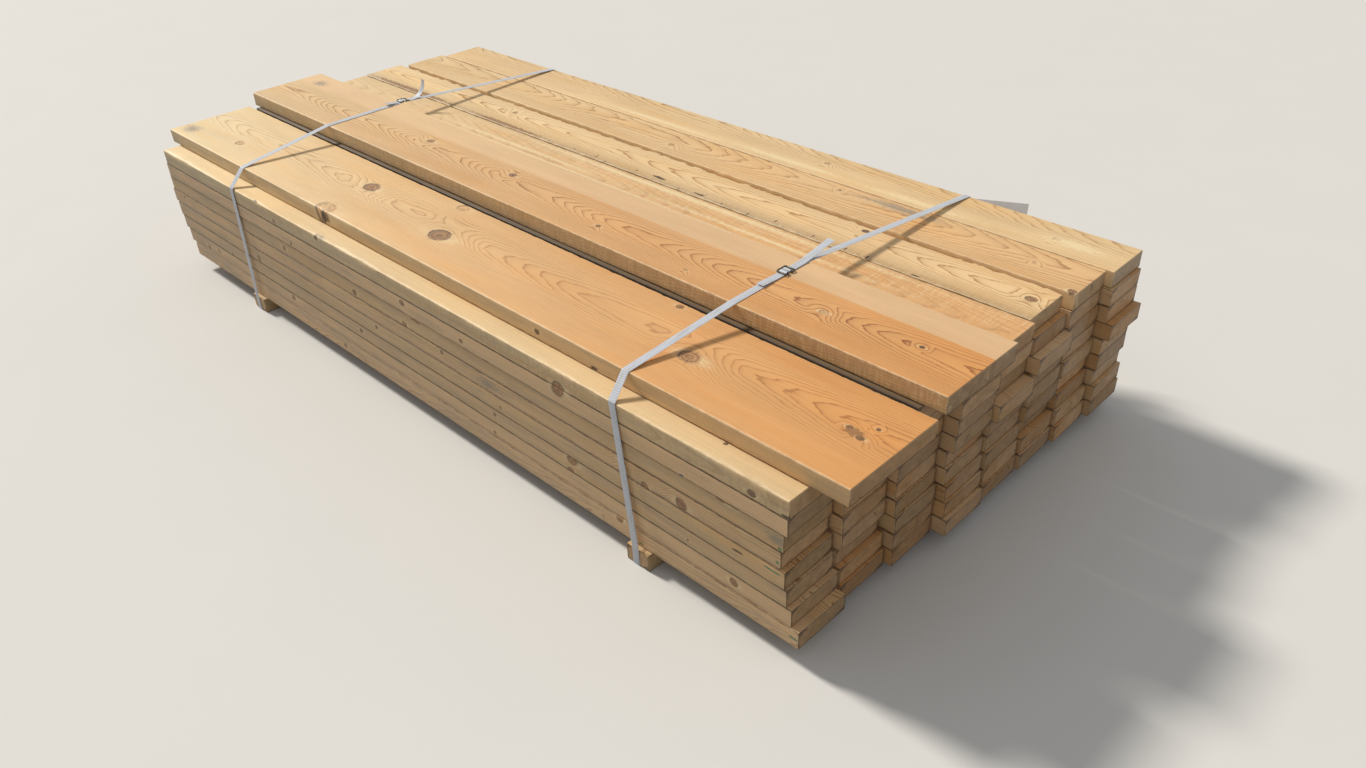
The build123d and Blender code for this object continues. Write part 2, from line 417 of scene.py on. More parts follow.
def with_wear_and_edge_shade(g, colour, edge, wear_and_edge_shade, ragged):
    """Pale broken fibres along a worn arris where the value is above 0; where it is below 0, darker arrises
    and end rims, which are dirt together with painted shade for the joints between boards.
    """
    worn = g.fall(edge + ragged * 6.0, 0.6, 3.0) * g.math("MAXIMUM", wear_and_edge_shade, 0.0)
    colour = g.mix(worn * 0.55, colour, worn_fibre)
    # Painted shade: arrises and end rims are darkened for the shade in the joints between boards, together
    # with some dirt.
    dirt_and_shade = g.fall(edge + ragged * 2.5, 0.4, 2.8) * g.math("MAXIMUM", wear_and_edge_shade * -1.0, 0.0)
    return g.mix(dirt_and_shade * 0.82, colour, grime_and_edge_shade)


def pine(name, end_grain):
    """Sawn pine: year rings round the pith, knots, saw marks, worn arrises, dirt with painted shade along the
    arrises, and marks.
    """
    g = Graph(name)
    log = g.attribute("log")
    warmth, light, grey = g.split(g.attribute("tone", "Color"), "SeparateColor")
    sap = (g.attribute("tone", "Alpha") - 0.5) * sap_range
    saw, contrast, wear_and_edge_shade = g.split(g.attribute("finish"))
    ku, kv, knot = g.split(g.attribute("knot"))
    mu, mv, mark = g.split(g.attribute("mark"))
    plain, rho, spokes, lumps = knot_parts(g, ku, kv, knot)
    lift = knot_lift(g, plain, g.math("FLOOR", knot) * 0.1)

    ring, straight = growth_rings(g, log, g.attribute("rise", "Fac"), lift)
    colour, late = fresh_wood(g, log, ring, warmth, sap, contrast)
    broad = g.noise(log, (0.03, 0.16, 0.16))
    streak = g.noise(log, (0.06, 3.0, 3.0), 3.0, 0.6)
    fibre = g.noise(log, (0.40, 22.0, 22.0), 3.0, 0.65)
    ragged = g.noise(log, (0.9, 1.6, 1.6), 3.0)
    tooth, fuzz, sawn = saw_marks(g, log, saw)
    shade = streak * 0.32 + 1.0 + fibre * 0.12 + broad * 0.26 + sawn
    height = late * 0.08 + fibre * 0.26 + streak * 0.10 + sawn * 1.8
    if end_grain:
        end_shade, end_height = end_marks(g, log, straight)
        colour = g.mix(0.3, colour, end_wood)
        shade = end_shade + 0.88
        height = late * 0.16 + end_height
    colour = g.shade(colour, shade * (light * light_range))

    fleck = g.step(tooth + fuzz * 0.9, 0.06, 0.24) * g.step(saw, 0.5, 1.0)
    colour = g.mix(fleck * 0.6, colour, saw_fleck)
    weather = g.step(g.noise(log, (0.06, 0.6, 0.6), 4.0, 0.65) + grey, 0.22, 0.75)
    colour = g.mix(weather * 0.8, colour, grey_wood)
    colour = with_wear_and_edge_shade(g, colour, g.attribute("edge", "Fac"), wear_and_edge_shade, ragged)
    colour, knot_height = with_knot(g, colour, ku, kv, g.math("FRACT", knot), rho, spokes, lumps, fibre)
    colour, spot = with_mark(g, colour, (mu, mv), mark, ragged, fuzz, streak)
    roughness = 0.56 - late * 0.10 + streak * 0.1
    return g.finish(colour, roughness, height + knot_height - spot * 0.3, depth=0.5 * MM)


def webbing():
    """Woven polyester strap: bundles of yarn along it under a clear coat, with a rib across each few mm."""
    g = Graph("strap_webbing")
    weave = g.attribute("weave")
    along, across, _ = g.split(weave)
    yarn = g.math("SINE", across * (2 * pi / (yarn_pitch / MM)))
    rib = g.math("SINE", along * (2 * pi / (rib_pitch / MM)))
    hair = g.noise(weave, (0.25, 9.0, 1.0), 3.0, 0.65)
    dirt = g.noise(weave, (0.02, 0.12, 1.0), 4.0, 0.6)
    colour = g.mix(g.step(dirt, -0.05, 0.25), strap_white, strap_dirt)
    # Painted light and shade: the colour goes lighter and darker with each rib, rib * 0.12, for how light
    # falls on the ribs.
    colour = g.shade(colour, yarn * 0.035 + 0.95 + rib * 0.12 + hair * 0.12 + dirt * 0.16)
    return g.finish(colour, hair * 0.3 + 0.42, yarn * 0.5 + rib * 0.3 + hair * 0.6, depth=0.12 * MM)


def wire_steel():
    """Dark phosphated wire with lighter patches at random and a little rust."""
    g = Graph("buckle_wire")
    g.shader.inputs["Metallic"].default_value = 0.85
    place = g.value("TexCoord", output="Object")
    drawn = g.noise(place, (900.0, 900.0, 900.0), 3.0)
    patch = g.noise(place, (160.0, 160.0, 160.0), 4.0, 0.6)
    colour = g.mix(g.step(patch, -0.06, 0.12), bright_wire, dark_wire)
    colour = g.mix(g.step(patch, 0.16, 0.26), colour, rust)
    return g.finish(colour, drawn * 0.3 + 0.38 + patch * 0.3, drawn, depth=0.1 * MM)


def label_plastic():
    """Thin matte plastic that lets some light through, scuffed and a little dusty."""
    g = Graph("label_plastic")
    g.shader.inputs["Subsurface Weight"].default_value = 0.8
    g.shader.inputs["Subsurface Radius"].default_value = (1.0, 1.0, 1.0)
    g.shader.inputs["Subsurface Scale"].default_value = 4 * MM
    place = g.attribute("weave")
    crease = g.noise(place, (0.05, 0.02, 1.0), 4.0, 0.6)
    dust = g.noise(place, (0.5, 0.5, 1.0), 4.0, 0.7)
    colour = g.mix(g.step(dust, -0.05, 0.25), label_white, label_dust)
    return g.finish(g.shade(colour, crease * 0.2 + 1.0), dust * 0.3 + 0.5, crease, depth=0.8 * MM)


def floor_paint():
    """Pale to look at, while only a little of its light reaches the sides of the bundle."""
    g = Graph("floor")
    mottle = g.noise(g.value("TexCoord", output="Object"), (3.0, 3.0, 3.0), 3.0)
    seen = g.value("LightPath", output="Is Camera Ray")
    for ray in ("Is Glossy Ray", "Is Transmission Ray"):
        seen = g.math("MAXIMUM", seen, g.value("LightPath", output=ray))
    paint = g.shade(g.mix(seen, floor_lit, floor_seen), mottle * 0.03 + 1.0)
    return g.finish(paint, 0.85, mottle, depth=0.2 * MM)


# Meshes

ATTRIBUTE_KINDS = {1: ("FLOAT", "value"), 3: ("FLOAT_VECTOR", "vector"), 4: ("FLOAT_COLOR", "color")}


def make_object(name, vertices, quads, materials, material_index=None, points=None, corners=None,
                sharp=40.0):
    """A mesh object with its attributes, riding on the part's one body."""
    mesh = bpy.data.meshes.new(name)
    quads = np.asarray(quads, np.int32)
    mesh.vertices.add(len(vertices))
    mesh.vertices.foreach_set("co", np.asarray(vertices, np.float32).ravel())
    mesh.loops.add(quads.size)
    mesh.loops.foreach_set("vertex_index", quads.ravel())
    mesh.polygons.add(len(quads))
    mesh.polygons.foreach_set("loop_start", np.arange(0, quads.size, 4, dtype=np.int32))
    for material in materials:
        mesh.materials.append(material)
    if material_index is not None:
        mesh.polygons.foreach_set("material_index", np.asarray(material_index, np.int32))
    for domain, group in (("POINT", points or {}), ("CORNER", corners or {})):
        for key, values in group.items():
            values = np.asarray(values, np.float32)
            width = 1 if values.ndim == 1 else values.shape[1]
            kind, holder = ATTRIBUTE_KINDS[width]
            layer = mesh.attributes.new(key, kind, domain)
            layer.data.foreach_set(holder, values.ravel())
    mesh.update(calc_edges=True)
    mesh.validate()
    mesh.shade_smooth()
    mesh.set_sharp_from_angle(angle=radians(sharp))
    piece = bpy.data.objects.new(name, mesh)
    bpy.context.scene.collection.objects.link(piece)
    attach(piece, "root")
    return piece


def unit(vectors):
    """Each vector made one long."""
    return vectors / np.linalg.norm(vectors, axis=-1, keepdims=True)


def waves(places, count, shortest, longest):
    """Smooth irregular waves about 0 over places in metres, about 1 high."""
    out = np.zeros(len(places))
    for _ in range(count):
        wavelength = shortest * (longest / shortest) ** rng.random()
        way = unit(rng.normal(size=3) * (1.0, 0.6, 0.6))
        out += np.sin(places @ way * (2 * pi / wavelength) + rng.random() * 2 * pi)
    return out / count ** 0.5


def box_grid(xs, ys, zs):
    """The quads of a box's six sides on grid lines: corner places, quads, and each quad's side.

    Sides: 0 far end, 1 near end, 2 left, 3 right, 4 bottom, 5 top.
    """
    sizes = (len(xs), len(ys), len(zs))
    quads = []
    sides = []
    for axis in range(3):
        first, second = (axis + 1) % 3, (axis + 2) % 3
        i, j = np.meshgrid(np.arange(sizes[first] - 1), np.arange(sizes[second] - 1), indexing="ij")
        i, j = i.ravel(), j.ravel()
        for high in (False, True):
            ring = [(i, j), (i + 1, j), (i + 1, j + 1), (i, j + 1)]
            if not high:
                ring = ring[::-1]
            block = np.zeros((len(i), 4, 3), int)
            for corner, (p, q) in enumerate(ring):
                block[:, corner, axis] = sizes[axis] - 1 if high else 0
                block[:, corner, first] = p
                block[:, corner, second] = q
            quads.append(block)
            sides.append(np.full(len(i), 2 * axis + high))
    quads = np.concatenate(quads)
    keys = np.ravel_multi_index(tuple(np.moveaxis(quads, -1, 0)), sizes)
    unique, inverse = np.unique(keys.ravel(), return_inverse=True)
    i, j, k = np.unravel_index(unique, sizes)
    return np.stack([xs[i], ys[j], zs[k]], axis=1), inverse.reshape(-1, 4), np.concatenate(sides)


def lines(size, step, inset, extra=()):
    """Grid lines from 0 to size: close together at both edges, and about a step apart between them."""
    between = np.linspace(inset, size - inset, max(2, ceil((size - 2 * inset) / step) + 1))
    edge = np.array([0.0, 0.12, 0.3, 0.58]) * inset
    return np.unique(np.round(np.concatenate([edge, between, size - edge, np.array(extra, float)]), 7))


def round_edges(places, size, radius):
    """Box places with the four long edges rounded to a radius, which may differ from place to place."""
    _, width, height = size
    inner_y = np.clip(places[:, 1], radius, width - radius)
    inner_z = np.clip(places[:, 2], radius, height - radius)
    off_y = places[:, 1] - inner_y
    off_z = places[:, 2] - inner_z
    reach = np.maximum(np.hypot(off_y, off_z), 1e-9)
    scale = np.where((off_y != 0) & (off_z != 0), radius / reach, 1.0)
    return np.stack([places[:, 0], inner_y + off_y * scale, inner_z + off_z * scale], axis=1)


# A branch cut through: its face, its place and radius in millimetres, and how dark it is, from 0 to 1
Knot = namedtuple("Knot", "face from_near_end across radius dark")

# A mark on one face: what it is, its place, and half its length and width in millimetres
Mark = namedtuple("Mark", "face kind from_near_end across half_length half_width")


def knots_on(face, *rows):
    return [Knot(face, *row) for row in rows]


def marks_on(face, *rows):
    return [Mark(face, *row) for row in rows]


def face_place(spot, size):
    """Where the middle of a knot or mark lies on its board."""
    across = spot.across * MM
    places = {"left": (0.0, across), "right": (size[1], across), "top": (across, size[2])}
    return np.array([size[0] - spot.from_near_end * MM, *places[spot.face]])


def keep_nearest(out, best, distance, values, allowed=True):
    """Writes a knot's or mark's values where it lies nearer than every one before it."""
    nearer = (distance < best) & allowed
    best[nearer] = distance[nearer]
    for number, value in enumerate(values):
        out[nearer, :, number] = value[nearer] if np.ndim(value) else value


def knot_attribute(places, quads, size, pith, knots):
    """For each face corner: its place beside the nearest knot, and that knot's radius and darkness.

    The place counts in knot radii. The radius is whole millimetres, and the darkness stands behind the point.
    """
    out = np.full((len(quads), 4, 3), nowhere)
    best = np.full(len(quads), knot_reach)
    corners = places[quads]
    for knot in knots:
        middle = face_place(knot, size)
        away = unit(unit(middle[1:] - pith) + knot_face_pull * np.array(FACE_NORMALS[knot.face]))
        offset = corners - middle
        lean = knot_lean * (offset[..., 1] * away[0] + offset[..., 2] * away[1])
        u = (offset[..., 0] - lean) / (knot_stretch * knot.radius * MM)
        v = (offset[..., 2] * away[0] - offset[..., 1] * away[1]) / (knot.radius * MM)
        look = round(knot.radius) + max(knot.dark, palest_knot) * knot_shade_share
        keep_nearest(out, best, np.hypot(u, v).mean(axis=1), (u, v, look))
    return out.reshape(-1, 3)


def mark_attribute(places, quads, sides, size, marks):
    """For each face corner: its place beside the nearest mark of its face, and the mark's kind."""
    out = np.full((len(quads), 4, 3), nowhere)
    best = np.full(len(quads), mark_reach)
    corners = places[quads]
    for mark in marks:
        offset = corners - face_place(mark, size)
        second = 1 if mark.face == "top" else 2
        u = offset[..., 0] / (mark.half_length * MM)
        v = offset[..., second] / (mark.half_width * MM)
        on_its_face = sides == FACE_SIDES[mark.face]
        keep_nearest(out, best, np.hypot(u, v).min(axis=1), (u, v, mark.kind), on_its_face)
    return out.reshape(-1, 3)


@dataclass
class Look:
    """How one board looks.

    Light, grey, saw and contrast are one number, or a few from the left edge to the right. Side_grey is the
    grey of the sides at the near end and at the far end. The pith is given from the board's left edge and its
    underside, in millimetres. The heartwood reaches heart centimetres from it, or over the share sap of the
    width. Wave is the length, and the place from the near end, of the steps in which the year rings taper, in
    metres. Wane is how wide the upper left and upper right arris are broken off, and under how wide the lower
    left one is, in millimetres. A fine board has closer grid lines and more chips.
    """

    warmth: float = 0.35
    # Towards the far end the wood turns paler and its broad faces lighter: painted glare.
    far_glare_warmth: float | None = None
    side_warmth: float = 0.8
    light: float | tuple = 1.0
    far_glare_light: float = 1.0
    side_light: float = 1.0
    end_light: float = 1.0
    grey: float | tuple = 0.0
    side_grey: tuple = (0.2, 0.2)
    end_grey: float = 0.0
    heart: float = 30.0
    sap: float | None = None
    pith: tuple = (75, -40)
    taper: float = 0.03
    wave: tuple = (0.8, 0.3)
    saw: float | tuple = 0.25
    side_saw: float = 0.3
    contrast: float | tuple = 0.8
    knots: list = field(default_factory=list)
    marks: list = field(default_factory=list)
    wane: tuple | None = None
    under: float = 0.0
    fine: bool = False

    def __post_init__(self):
        if self.far_glare_warmth is None:
            self.far_glare_warmth = self.warmth


def spread(values, fraction):
    """One number all over, or a few numbers from the left edge to the right."""
    values = np.atleast_1d(values)
    return np.interp(fraction, np.linspace(0, 1, len(values)), values)


def board_grid(size, look, step, groove):
    """A board's box with its grid lines closest together at the arrises and the ends."""
    inset = arris if look.wane is None else widest_wane
    ends = np.array(end_lines)
    body = np.linspace(end_zone, size[0] - end_zone, max(2, ceil(size[0] / step)))
    xs = np.unique(np.concatenate([ends, body, size[0] - ends]))
    groove_lines = []
    if groove is not None:
        for wall in (groove - groove_half_width, groove + groove_half_width):
            groove_lines += [wall - groove_wall, wall + groove_wall]
    ys = lines(size[1], fine_step if look.fine else plain_width_step, inset, groove_lines)
    zs = lines(size[2], height_step, inset)
    return box_grid(xs, ys, zs)


def arris_radius(flat, size, look, uneven, slow):
    """How round the long edges are at each place: chipped in places, and rough along a waney edge."""
    upper = flat[:, 2] > size[2] / 2
    left = flat[:, 1] < size[1] / 2
    radius = arris * (1.0 + 0.35 * uneven)
    if look.fine:
        radius += arris_chip * np.maximum(0, uneven - 1.1) * upper
    radius = np.clip(radius, smallest_arris, largest_arris)
    if look.wane is None:
        return radius
    widest = np.where(left, *look.wane)
    rough = widest * MM * (0.55 + 0.30 * slow + 0.32 * uneven)
    radius = np.where(upper & (widest > 0), np.clip(rough, smallest_wane, widest_wane), radius)
    below = look.under * MM * (1.0 + 0.25 * slow + 0.15 * uneven)
    return np.where(~upper & left, np.clip(below, radius, widest_wane), radius)


def shape_board(flat, size, look, groove):
    """A board's places with eased arrises, a little clear of its neighbours, and ends sawn slightly askew."""
    uneven = waves(flat, 7, 14 * MM, 90 * MM)
    slow = waves(flat, 5, 300 * MM, 1200 * MM)
    shaped = round_edges(flat, size, arris_radius(flat, size, look, uneven, slow))
    middle = size / 2
    way_in = middle - shaped
    depth = layer_gap * rng.uniform(0.55, 1.35) * (1.0 + 0.25 * slow + 0.12 * uneven)
    for axis in (1, 2):
        on_face = np.abs(way_in[:, axis]) > middle[axis] - widest_wane
        share = 1.0 if axis == 2 else side_gap_share
        shaped[:, axis] += np.sign(way_in[:, axis]) * depth * on_face * share
    at_end = (flat[:, 0] < 1e-6) | (flat[:, 0] > size[0] - 1e-6)
    for axis in (1, 2):
        rim = np.minimum(flat[:, axis], size[axis] - flat[:, axis]) < arris
        shaped[:, axis] += np.sign(way_in[:, axis]) * end_rim * (at_end & rim)
    skew = rng.normal(size=2) * end_skew
    tilt = (flat[:, 1] - middle[1]) * skew[0] + (flat[:, 2] - middle[2]) * skew[1]
    reach = abs(middle[1] * skew[0]) + abs(middle[2] * skew[1])
    close = np.clip(1 - np.minimum(flat[:, 0], size[0] - flat[:, 0]) / skewed_length, 0, 1)
    shaped[:, 0] += np.sign(middle[0] - flat[:, 0]) * close * (reach + tilt)
    if groove is not None:
        under = (flat[:, 2] < 1e-6) & (np.abs(flat[:, 1] - groove) < groove_half_width)
        shaped[under, 2] = groove_depth
    return shaped


def ring_rise(x, length, look):
    """How far the year rings lie further out along a board, faster and slower in turn, in centimetres.

    It makes them cut the board's face in nested points, which lie closest where it rises fastest.
    """
    wavelength, peak = look.wave
    turn = 2 * pi / wavelength
    return look.taper * cm * (x + ring_wave_share / turn * np.sin(turn * (x - length + peak)))


def board_paint(flat, shaped, size, look):
    """What the wood's material reads at each place of a board."""
    pith = np.array(look.pith) * MM
    log = (shaped - (0, *pith)) * cm
    log[:, 0] += rng.uniform(0, 400)
    along = flat[:, 0] / size[0]
    beside = flat[:, 1] / size[1]
    across = np.minimum(flat[:, 1], size[1] - flat[:, 1]) / MM
    up = np.minimum(flat[:, 2], size[2] - flat[:, 2]) / MM
    at_end = (along < 1e-6) | (along > 1 - 1e-6)
    on_face = up < 1
    # painted glare: the broad faces get lighter towards the far end
    face_light = look.far_glare_light + (1 - look.far_glare_light) * along
    light = spread(look.light, beside) * np.where(on_face, face_light, look.side_light)
    light = np.where(at_end, look.end_light, light)
    side_grey = look.side_grey[1] + (look.side_grey[0] - look.side_grey[1]) * along
    grey = np.where(on_face, spread(look.grey, beside), side_grey)
    grey = np.where(at_end, look.end_grey, grey)
    if look.sap is None:
        sap = np.hypot(log[:, 1], log[:, 2]) - look.heart
    else:
        sap = (beside - look.sap) * size[1] * cm
    # painted glare: the wood turns paler towards the far end
    warmth = look.far_glare_warmth + (look.warmth - look.far_glare_warmth) * along
    warmth *= np.where(on_face, 1.0, look.side_warmth)
    saw = np.where(on_face, spread(look.saw, beside), look.side_saw)
    contrast = spread(look.contrast, beside) * np.where(on_face, 1.0, side_contrast_share)
    contrast = np.where(at_end, end_contrast, contrast)
    # 1 gives pale worn arrises on the tops of fine boards; -1 gives darker arrises and end rims, which are
    # dirt with painted shade of the joints.
    wear_and_edge_shade = np.where((flat[:, 2] > size[2] / 2) & look.fine, 1.0, -1.0)
    sap_share = np.clip(0.5 + sap / sap_range, 0, 1)
    return {
        "log": log,
        "rise": ring_rise(shaped[:, 0], size[0], look),
        "tone": np.stack([warmth, light / light_range, grey, sap_share], axis=1),
        "edge": np.where(at_end, np.minimum(across, up) * 0.7, across + up),
        "finish": np.stack([saw, contrast, wear_and_edge_shade], axis=1),
    }


def make_board(name, low, high, look, step, turned=False, groove=None):
    """One board in the space of its solid, with eased and slightly uneven arrises and its grain."""
    size = np.array(high) - np.array(low)
    if turned:
        size = size[[1, 0, 2]]
    flat, quads, sides = board_grid(size, look, step, groove)
    shaped = shape_board(flat, size, look, groove)
    paint = board_paint(flat, shaped, size, look)
    knots = knot_attribute(shaped, quads, size, np.array(look.pith) * MM, look.knots)
    marks = mark_attribute(shaped, quads, sides, size, look.marks)
    if turned:
        shaped = np.stack([high[0] - low[0] - shaped[:, 1], shaped[:, 0], shaped[:, 2]], axis=1)
    return make_object(name, shaped + np.array(low), quads, WOOD, material_index=sides < 2,
                       points=paint, corners={"knot": knots, "mark": marks})


def boards_of(node):
    """The box of each board in a node of the model, from left to right."""
    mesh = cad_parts[node].data
    places = np.zeros(len(mesh.vertices) * 3, np.float32)
    mesh.vertices.foreach_get("co", places)
    places = places.reshape(-1, 3)
    boxes = [(places[group].min(axis=0), places[group].max(axis=0)) for group in split_boards(mesh)]
    return sorted(boxes, key=lambda box: box[0][1])


def split_boards(mesh):
    """The vertices of each connected piece of a mesh, with doubled vertices joined by their place."""
    places = np.array([vertex.co for vertex in mesh.vertices]).round(5)
    _, same = np.unique(places, axis=0, return_inverse=True)
    same = same.ravel()
    parent = np.arange(same.max() + 1)

    def root(item):
        while parent[item] != item:
            parent[item] = parent[parent[item]]
            item = parent[item]
        return item

    for edge in mesh.edges:
        a, b = root(same[edge.vertices[0]]), root(same[edge.vertices[1]])
        parent[a] = b
    roots = np.array([root(item) for item in same])
    return [np.where(roots == value)[0] for value in np.unique(roots)]


def random_look(most_knots=5):
    """A board of no special looks: its pith, tint and knots are drawn at random."""
    flat_sawn = rng.random() < 0.7
    pith = (rng.uniform(20, 130), rng.choice([-1, 1]) * rng.uniform(30, 110) + 22)
    if not flat_sawn:
        pith = (rng.choice([-70.0, 220.0]), rng.uniform(-30, 70))
    knots = []
    for _ in range(rng.integers(2, most_knots + 1)):
        face = rng.choice(["left", "right", "top"])
        across = rng.uniform(8, 38) if face != "top" else rng.uniform(15, 135)
        knots.append(Knot(face, rng.uniform(80, 2500), across, rng.uniform(3, 9), rng.uniform(0.15, 0.75)))
    return Look(
        warmth=rng.uniform(0.3, 0.8), light=rng.uniform(0.86, 1.04), grey=rng.uniform(0.0, 0.12),
        heart=rng.uniform(6, 16), pith=pith, saw=rng.uniform(0.1, 0.5), side_saw=rng.uniform(0.15, 0.5),
        end_light=rng.uniform(0.74, 1.16), end_grey=rng.uniform(0.0, 0.2),
        taper=rng.choice([-1, 1]) * rng.uniform(0.012, 0.05),
        wave=(rng.uniform(0.4, 1.1), rng.random()), contrast=rng.uniform(0.6, 1.0), knots=knots)


def first_column_look(layer):
    """The studs whose left sides show along the bundle, with their knots and marks from the photograph."""
    look = random_look(most_knots=4)
    look.warmth = look.far_glare_warmth = rng.uniform(0.15, 0.42)
    look.side_grey = (0.3, 0.46)
    look.light = rng.uniform(0.92, 1.06)
    look.side_saw = rng.uniform(0.12, 0.35)
    look.contrast = rng.uniform(1.2, 1.6)
    knots = {
        1: [(505, 42, 9, 0.45), (1650, 20, 6, 0.5)],
        2: [(148, 24, 9, 0.5), (930, 12, 4, 0.6), (1900, 30, 8, 0.4)],
        3: [(619, 36, 13, 0.35), (628, 2, 9, 0.35), (1500, 25, 6, 0.6)],
        4: [(1400, 30, 5, 0.7), (2050, 15, 9, 0.3)],
        5: [(258, 14, 12, 0.5), (364, 2, 9, 0.35), (1080, 33, 5, 0.6)],
        6: [(1244, 6, 8, 0.35), (1850, 22, 7, 0.5)],
        7: [(640, 37, 15, 0.42), (996, 18, 6, 0.5), (1800, 12, 5, 0.6)],
    }
    marks = {
        1: [(GREEN, 12, 24, 20, 3), (GREEN, 440, 9, 10, 3), (SMEAR, 1, 14, 5, 8)],
        4: [(GREEN, 30, 33, 26, 2.5), (SHADED_HOLE, 118, 27, 20, 3.5)],
        5: [(GREEN, 8, 15, 5, 4), (SMEAR, 900, 20, 60, 18)],
        6: [(BARK, 140, 40, 34, 4.5), (PALE, 134, 38, 26, 2.5), (GREEN, 9, 6, 9, 5), (SMEAR, 14, 24, 34, 16),
            (SHADED_HOLE, 36, 20, 10, 3), (BARK, 1185, 38, 26, 5)],
        7: [(BLUE, 268, 3, 9, 4)],
    }
    look.knots += knots_on("left", *knots.get(layer, []))
    look.marks += marks_on("left", *marks.get(layer, []))
    if layer == 6:
        look.grey = 0.16
        look.wane = (6, 0)
    return look


def edge_stud_look():
    """The left stud of the eighth layer, whose top shows beside the wide plank."""
    return Look(
        warmth=0.2, far_glare_warmth=0.0, light=1.06, far_glare_light=1.16, side_light=0.82, side_warmth=1.3,
        side_grey=(0.3, 0.45), pith=(-150, 30), taper=0.01, saw=0.2, side_saw=0.8, contrast=0.6,
        knots=knots_on("left", (90, 14, 8, 0.7), (640, 1, 15, 0.42), (1880, 12, 6, 0.5), (1640, 38, 7, 0.7))
        + knots_on("top", (200, 52, 4, 0.7)),
        marks=marks_on("left", (SHADED_HOLE, 6, 5, 18, 4))
        + marks_on("top", (SMEAR, 1622, 6, 26, 7), (SHADED_HOLE, 1980, 4, 12, 5)),
        wane=(10, 0), fine=True)


def wide_plank_look():
    return Look(
        warmth=0.95, far_glare_warmth=0.0, side_warmth=0.45, light=(1.0, 0.97, 0.99), far_glare_light=1.18,
        side_light=0.93, side_grey=(0.3, 0.45), end_light=0.95, pith=(160, -62), taper=-0.035,
        wave=(0.8, 0.28), saw=0.03, side_saw=0.4, contrast=(0.25, 0.42, 0.66, 0.64),
        knots=knots_on("top", (1794, 174, 22, 0.42), (1389, 120, 27, 0.5), (1476, 258, 17, 0.06),
                       (505, 125, 22, 0.3), (111, 147, 6, 0.75), (76, 132, 7, 0.75), (66, 176, 4, 0.8),
                       (2415, 91, 14, 0.12), (666, 262, 8, 0.45), (1770, 14, 30, 0.04))
        + knots_on("left", (1765, 30, 22, 0.55), (858, 22, 7, 0.85)),
        marks=marks_on("top", (SMEAR, 2660, 50, 46, 30), (BARK, 96, 140, 26, 14))
        + marks_on("left", (SHADED_HOLE, 1765, 24, 12, 20), (SHADED_HOLE, 670, 6, 12, 7)),
        wane=(6, 0), under=5, fine=True)


def top_plank_look():
    return Look(
        warmth=0.95, far_glare_warmth=0.2, side_warmth=0.4, light=0.98, far_glare_light=1.08, side_light=0.84,
        end_light=0.75, side_grey=(0.3, 0.48), sap=0.66, pith=(108, -42), taper=-0.06, wave=(0.425, 0.3),
        saw=0.03, side_saw=1.3, contrast=(0.9, 0.9, 0.95, 0.5, 0.35),
        knots=knots_on("top", (1860, 132, 11, 0.35), (1468, 130, 10, 0.55), (1049, 66, 6, 0.6),
                       (724, 42, 5, 0.2), (368, 97, 9, 0.1), (135, 116, 5, 0.9)),
        marks=marks_on("top", (SMEAR, 2610, 200, 40, 26), (PALE, 1500, 253, 900, 5)),
        wane=(4, 0), under=4, fine=True)


